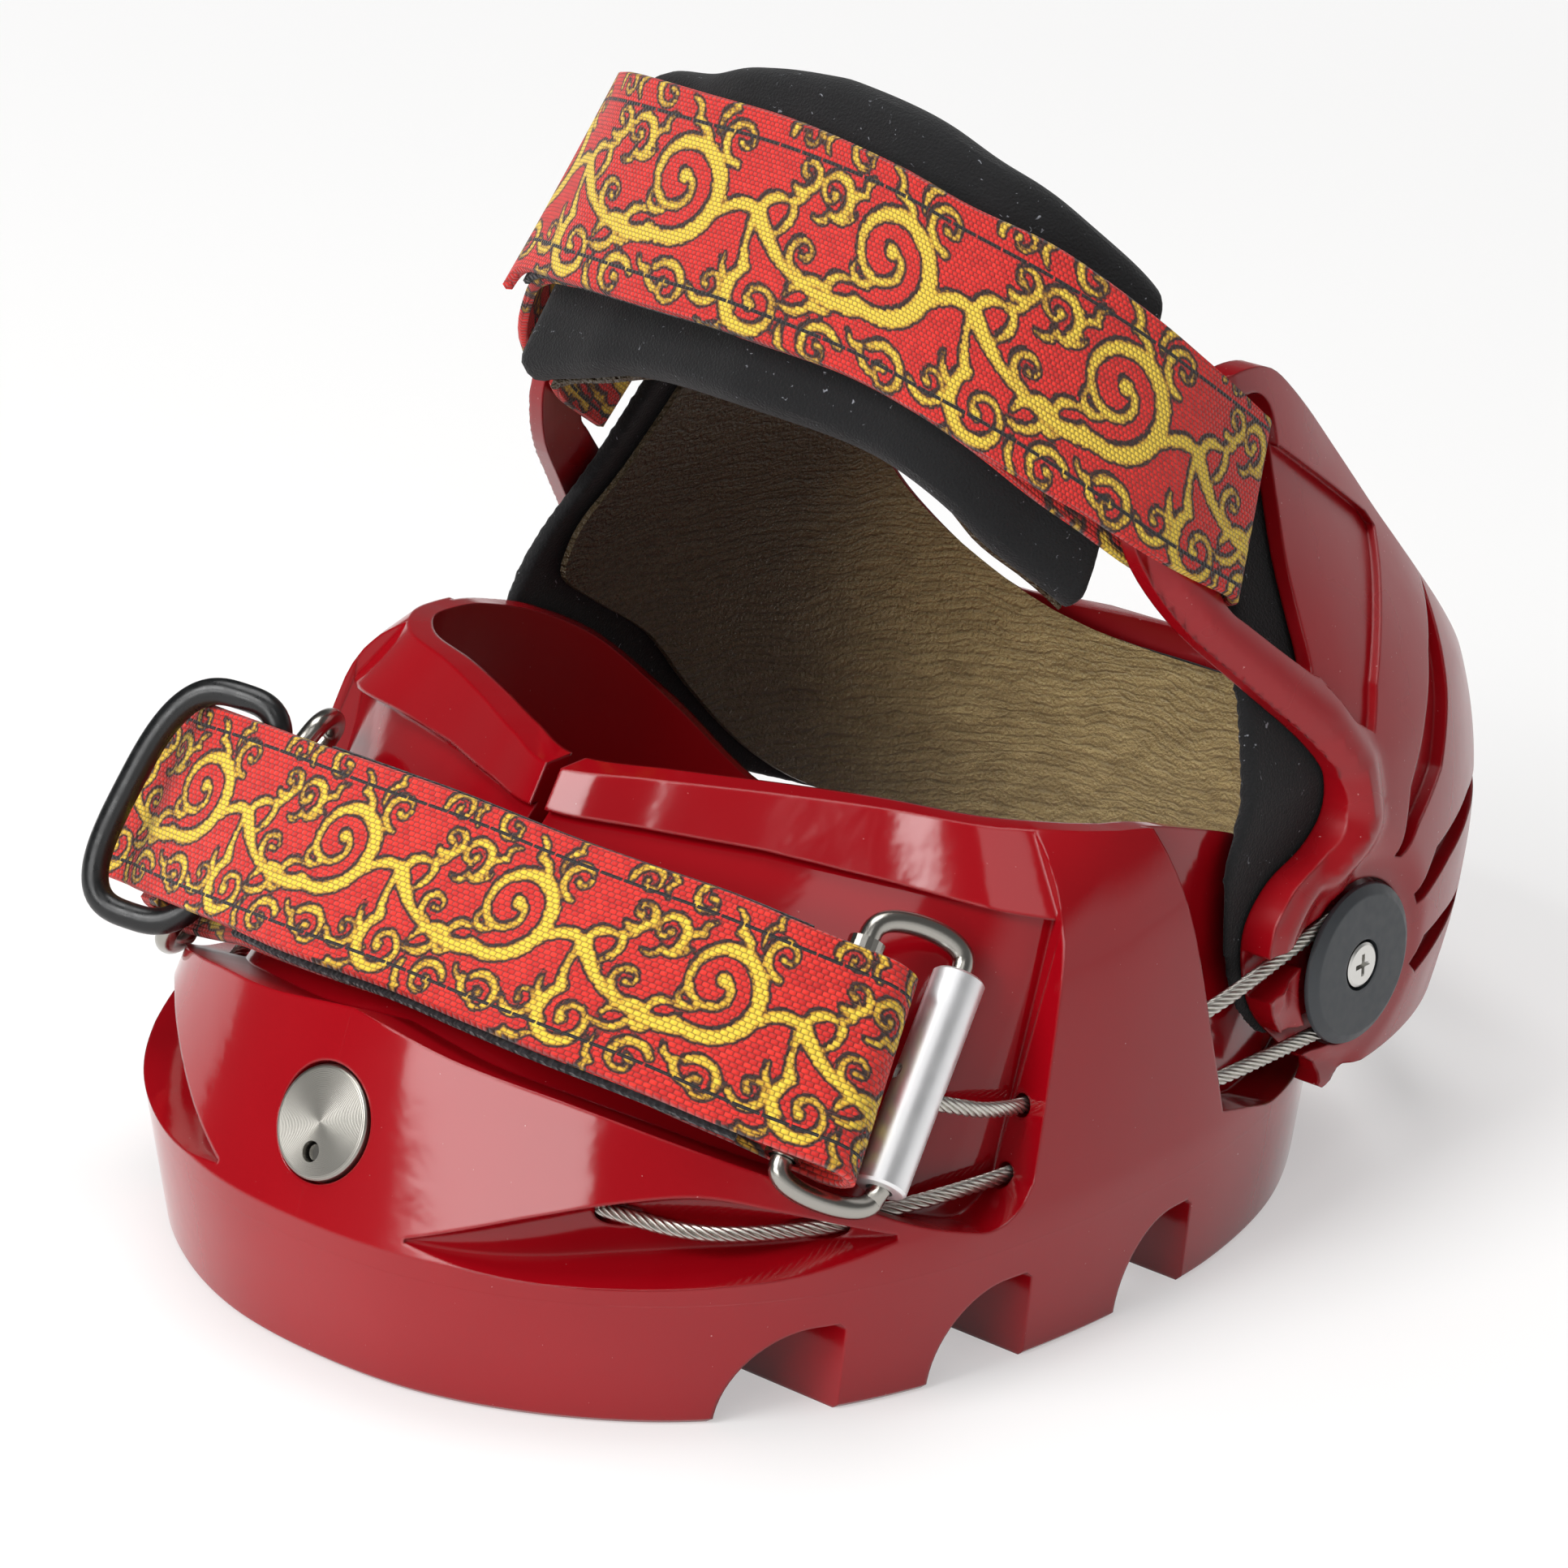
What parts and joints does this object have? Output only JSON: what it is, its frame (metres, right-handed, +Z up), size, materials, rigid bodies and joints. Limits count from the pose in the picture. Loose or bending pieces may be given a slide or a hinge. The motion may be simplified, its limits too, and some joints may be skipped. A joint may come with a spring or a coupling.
{
  "type": "hoof boot",
  "caption": "Moulded horse hoof boot with a hinged heel piece, steel cable tensioning, a buckled toe strap and a padded pastern strap.",
  "frame": {"origin": "on the floor under the sole, midway between the boot's sides and below the toe half of the heel cup's pivot", "axes": "+Z up from the floor, -Y towards the toe, +Y towards the heel, +X towards the side with the roller buckle"},
  "size_m": [0.127, 0.1745, 0.1295],
  "materials": {
    "red_polyurethane": "glossy moulded polyurethane",
    "printed_webbing": "coarse ribbed webbing with a gold scroll print",
    "black_hook_tape": "hook and loop tape",
    "black_neoprene": "cloth-faced neoprene foam",
    "tan_lining": "thin wrinkled lining leather",
    "grey_nylon": "satin slate grey nylon",
    "black_coated_steel": "satin black coating",
    "stainless_steel": "turned and drawn stainless steel",
    "steel_rope": "stranded steel rope",
    "aluminium": "polished aluminium"
  },
  "bodies": {
    "shell": {"boot_shell": "red_polyurethane", "cable_lock_barrel": "stainless_steel", "cable_lock_screw": "stainless_steel", "cable_right": "steel_rope", "cable_left": "steel_rope", "cable_tube_right": "aluminium", "cable_tube_left": "aluminium", "tube_screw_right": "stainless_steel", "tube_screw_left": "stainless_steel", "bail_right": "stainless_steel", "bail_left": "stainless_steel", "toe_strap": "printed_webbing", "toe_strap_tape": "black_hook_tape"},
    "heel_piece": {"captivator": "red_polyurethane", "heel_pad": "black_neoprene", "heel_pad_lining": "tan_lining", "pivot_screw_right": "stainless_steel", "pivot_screw_left": "stainless_steel", "pivot_insert_right": "stainless_steel", "pivot_insert_left": "stainless_steel", "pastern_strap": "printed_webbing", "pastern_strap_tape": "black_hook_tape", "pastern_pad": "black_neoprene", "pastern_pad_lining": "tan_lining"},
    "pulley_right": {"pulley_right": "grey_nylon"},
    "pulley_left": {"pulley_left": "grey_nylon"},
    "ring": {"pull_ring": "black_coated_steel"},
    "roller": {"buckle_roller": "stainless_steel"}
  },
  "joints": [
    {"name": "captivator_pivot", "type": "hinge", "parent": "shell", "child": "heel_piece", "pos_m": [0, 0.034, 0.0305], "axis": [-1, 0, 0], "range_deg": [-4, 7]},
    {"name": "pulley_right_spin", "type": "hinge", "parent": "heel_piece", "child": "pulley_right", "pos_m": [0.0631, 0.034, 0.0305], "axis": [1, 0, 0], "continuous": true},
    {"name": "pulley_left_spin", "type": "hinge", "parent": "heel_piece", "child": "pulley_left", "pos_m": [-0.0631, 0.034, 0.0305], "axis": [1, 0, 0], "continuous": true},
    {"name": "ring_swing", "type": "hinge", "parent": "shell", "child": "ring", "pos_m": [-0.03938, -0.0448, 0.04367], "axis": [0.1938, 0.479, 0.8561], "range_deg": [0, 30]},
    {"name": "roller_spin", "type": "hinge", "parent": "shell", "child": "roller", "pos_m": [0.04543, -0.04035, 0.04015], "axis": [0.1442, -0.6959, -0.7036], "continuous": true}
  ]
}
